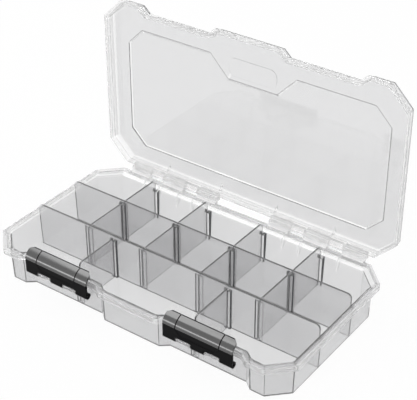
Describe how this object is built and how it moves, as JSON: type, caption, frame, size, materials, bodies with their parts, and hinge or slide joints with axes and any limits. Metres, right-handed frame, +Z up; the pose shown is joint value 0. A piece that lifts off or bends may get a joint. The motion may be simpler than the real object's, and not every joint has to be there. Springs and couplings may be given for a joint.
{
  "type": "organizer box",
  "caption": "Clear lidded organizer box with long walls and loose lift-out dividers, a hinged lid shown open at a right angle, and hinged latches on the front.",
  "frame": {"origin": "centre of the tray's outline, on its underside, where the box stands", "axes": "+X along the length, to the right as seen from the latches; +Y from the latches to the hinge; +Z up"},
  "size_m": [0.32, 0.1904, 0.2143],
  "materials": {
    "clear_plastic": "clear, smooth, glossy",
    "black_plastic": "opaque black, satin to glossy"
  },
  "bodies": {
    "tray_body": {"tray": "clear_plastic", "left_latch_pin": "clear_plastic", "right_latch_pin": "clear_plastic", "left_hinge_pin": "clear_plastic", "right_hinge_pin": "clear_plastic"},
    "lid_body": {"lid": "clear_plastic"},
    "left_latch_body": {"left_latch": "black_plastic"},
    "right_latch_body": {"right_latch": "black_plastic"},
    "divider_back_1_body": {"divider_back_1": "clear_plastic"},
    "divider_back_2_body": {"divider_back_2": "clear_plastic"},
    "divider_back_3_body": {"divider_back_3": "clear_plastic"},
    "divider_back_4_body": {"divider_back_4": "clear_plastic"},
    "divider_middle_1_body": {"divider_middle_1": "clear_plastic"},
    "divider_middle_2_body": {"divider_middle_2": "clear_plastic"},
    "divider_middle_3_body": {"divider_middle_3": "clear_plastic"},
    "divider_middle_4_body": {"divider_middle_4": "clear_plastic"},
    "divider_front_1_body": {"divider_front_1": "clear_plastic"},
    "divider_front_2_body": {"divider_front_2": "clear_plastic"}
  },
  "joints": [
    {"name": "lid_hinge", "type": "hinge", "parent": "tray_body", "child": "lid_body", "pos_m": [0, 0.0905, 0.0378], "axis": [-1, 0, 0], "range_deg": [-90, 0]},
    {"name": "left_latch_hinge", "type": "hinge", "parent": "tray_body", "child": "left_latch_body", "pos_m": [-0.0765, -0.0843, 0.0255], "axis": [1, 0, 0], "range_deg": [0, 110]},
    {"name": "right_latch_hinge", "type": "hinge", "parent": "tray_body", "child": "right_latch_body", "pos_m": [0.0765, -0.0843, 0.0255], "axis": [1, 0, 0], "range_deg": [0, 110]},
    {"name": "divider_back_1_lift", "type": "slide", "parent": "tray_body", "child": "divider_back_1_body", "axis": [0, 0, 1], "range_m": [0, 0.045]},
    {"name": "divider_back_2_lift", "type": "slide", "parent": "tray_body", "child": "divider_back_2_body", "axis": [0, 0, 1], "range_m": [0, 0.045]},
    {"name": "divider_back_3_lift", "type": "slide", "parent": "tray_body", "child": "divider_back_3_body", "axis": [0, 0, 1], "range_m": [0, 0.045]},
    {"name": "divider_back_4_lift", "type": "slide", "parent": "tray_body", "child": "divider_back_4_body", "axis": [0, 0, 1], "range_m": [0, 0.045]},
    {"name": "divider_middle_1_lift", "type": "slide", "parent": "tray_body", "child": "divider_middle_1_body", "axis": [0, 0, 1], "range_m": [0, 0.045]},
    {"name": "divider_middle_2_lift", "type": "slide", "parent": "tray_body", "child": "divider_middle_2_body", "axis": [0, 0, 1], "range_m": [0, 0.045]},
    {"name": "divider_middle_3_lift", "type": "slide", "parent": "tray_body", "child": "divider_middle_3_body", "axis": [0, 0, 1], "range_m": [0, 0.045]},
    {"name": "divider_middle_4_lift", "type": "slide", "parent": "tray_body", "child": "divider_middle_4_body", "axis": [0, 0, 1], "range_m": [0, 0.045]},
    {"name": "divider_front_1_lift", "type": "slide", "parent": "tray_body", "child": "divider_front_1_body", "axis": [0, 0, 1], "range_m": [0, 0.045]},
    {"name": "divider_front_2_lift", "type": "slide", "parent": "tray_body", "child": "divider_front_2_body", "axis": [0, 0, 1], "range_m": [0, 0.045]}
  ]
}
